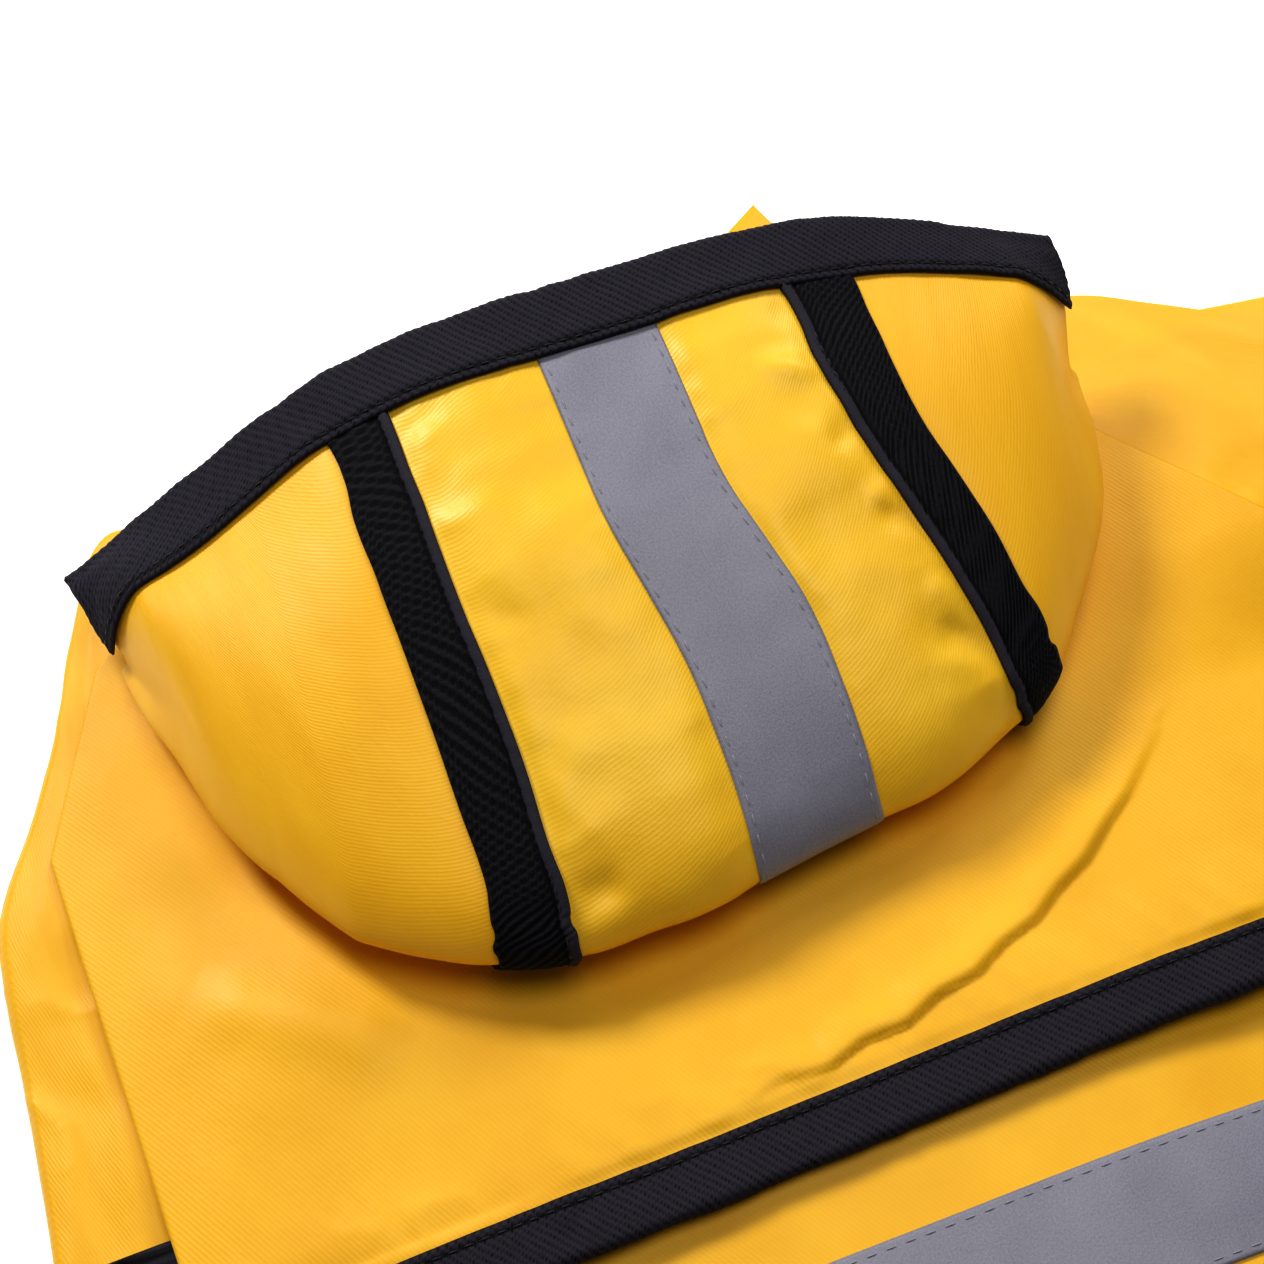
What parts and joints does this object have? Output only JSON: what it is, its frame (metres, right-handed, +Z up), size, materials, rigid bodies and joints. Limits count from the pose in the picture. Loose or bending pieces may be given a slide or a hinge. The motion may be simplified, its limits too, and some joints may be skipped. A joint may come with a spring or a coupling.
{
  "type": "hooded dog raincoat",
  "caption": "Hooded dog raincoat laid belly down, hood thrown back: three-panel hood with bound edges, loose bound cape hem, sleeves, belly closure, hind leg loops and reflective tape.",
  "frame": {"origin": "on the flat underside of the closed belly, on the spine line, between the armholes", "axes": "+Y along the spine towards the head, +Z up out of the back, +X to the wearer's right"},
  "size_m": [0.3523, 0.3871, 0.0605],
  "materials": {
    "yellow_cloth": "coated twill, soft sheen",
    "black_tape": "herringbone ribbed tape, matte",
    "black_elastic": "woven elastic, matte",
    "hook_tape": "hook side of touch fastener",
    "loop_tape": "loop side of touch fastener",
    "reflective_tape": "glass bead reflective cloth, satin"
  },
  "bodies": {
    "coat": {"back_panel": "yellow_cloth", "harness_port_rim": "black_tape", "back_reflective_strip": "reflective_tape", "tail_binding": "black_tape", "cape_yoke": "yellow_cloth", "left_sleeve_cap": "yellow_cloth", "right_sleeve_cap": "yellow_cloth", "neck_seam_tape": "black_tape", "left_leg_loop": "black_elastic", "right_leg_loop": "black_elastic"},
    "hood": {"hood_left_panel": "yellow_cloth", "hood_centre_panel": "yellow_cloth", "hood_right_panel": "yellow_cloth", "hood_face_binding": "black_tape", "hood_left_seam_binding": "black_tape", "hood_right_seam_binding": "black_tape", "hood_reflective_strip": "reflective_tape"},
    "cape_hem": {"cape_flap": "yellow_cloth", "cape_hem_binding": "black_tape"},
    "left_leg": {"left_sleeve": "yellow_cloth", "left_cuff_binding": "black_elastic"},
    "right_leg": {"right_sleeve": "yellow_cloth", "right_cuff_binding": "black_elastic"},
    "left_belly": {"left_belly_panel": "yellow_cloth", "belly_loop_tape": "loop_tape"},
    "right_belly": {"right_belly_panel": "yellow_cloth", "belly_hook_tape": "hook_tape"}
  },
  "joints": [
    {"name": "hood_raise", "type": "hinge", "parent": "coat", "child": "hood", "pos_m": [0, 0.052, 0.019], "axis": [-1, 0, 0], "range_deg": [0, 85]},
    {"name": "cape_hem_lift", "type": "hinge", "parent": "coat", "child": "cape_hem", "pos_m": [0, -0.057, 0.0186], "axis": [-1, 0, 0], "range_deg": [0, 75]},
    {"name": "left_sleeve_swing", "type": "hinge", "parent": "coat", "child": "left_leg", "pos_m": [-0.1422, -0.014, 0.005], "axis": [0, 0, -1], "range_deg": [0, 60]},
    {"name": "right_sleeve_swing", "type": "hinge", "parent": "coat", "child": "right_leg", "pos_m": [0.126, -0.015, 0.005], "axis": [0, 0, -1], "range_deg": [0, 35]},
    {"name": "right_belly_open", "type": "hinge", "parent": "coat", "child": "right_belly", "pos_m": [0.102, -0.06, 0.00158], "axis": [0, -1, 0], "range_deg": [0, 72]},
    {"name": "left_belly_open", "type": "hinge", "parent": "coat", "child": "left_belly", "pos_m": [-0.102, -0.06, 0.00158], "axis": [0, 1, 0], "range_deg": [0, 108]}
  ],
  "couplings": [
    {"joint": "left_belly_open", "follows": "right_belly_open", "ratio": 1.5}
  ]
}
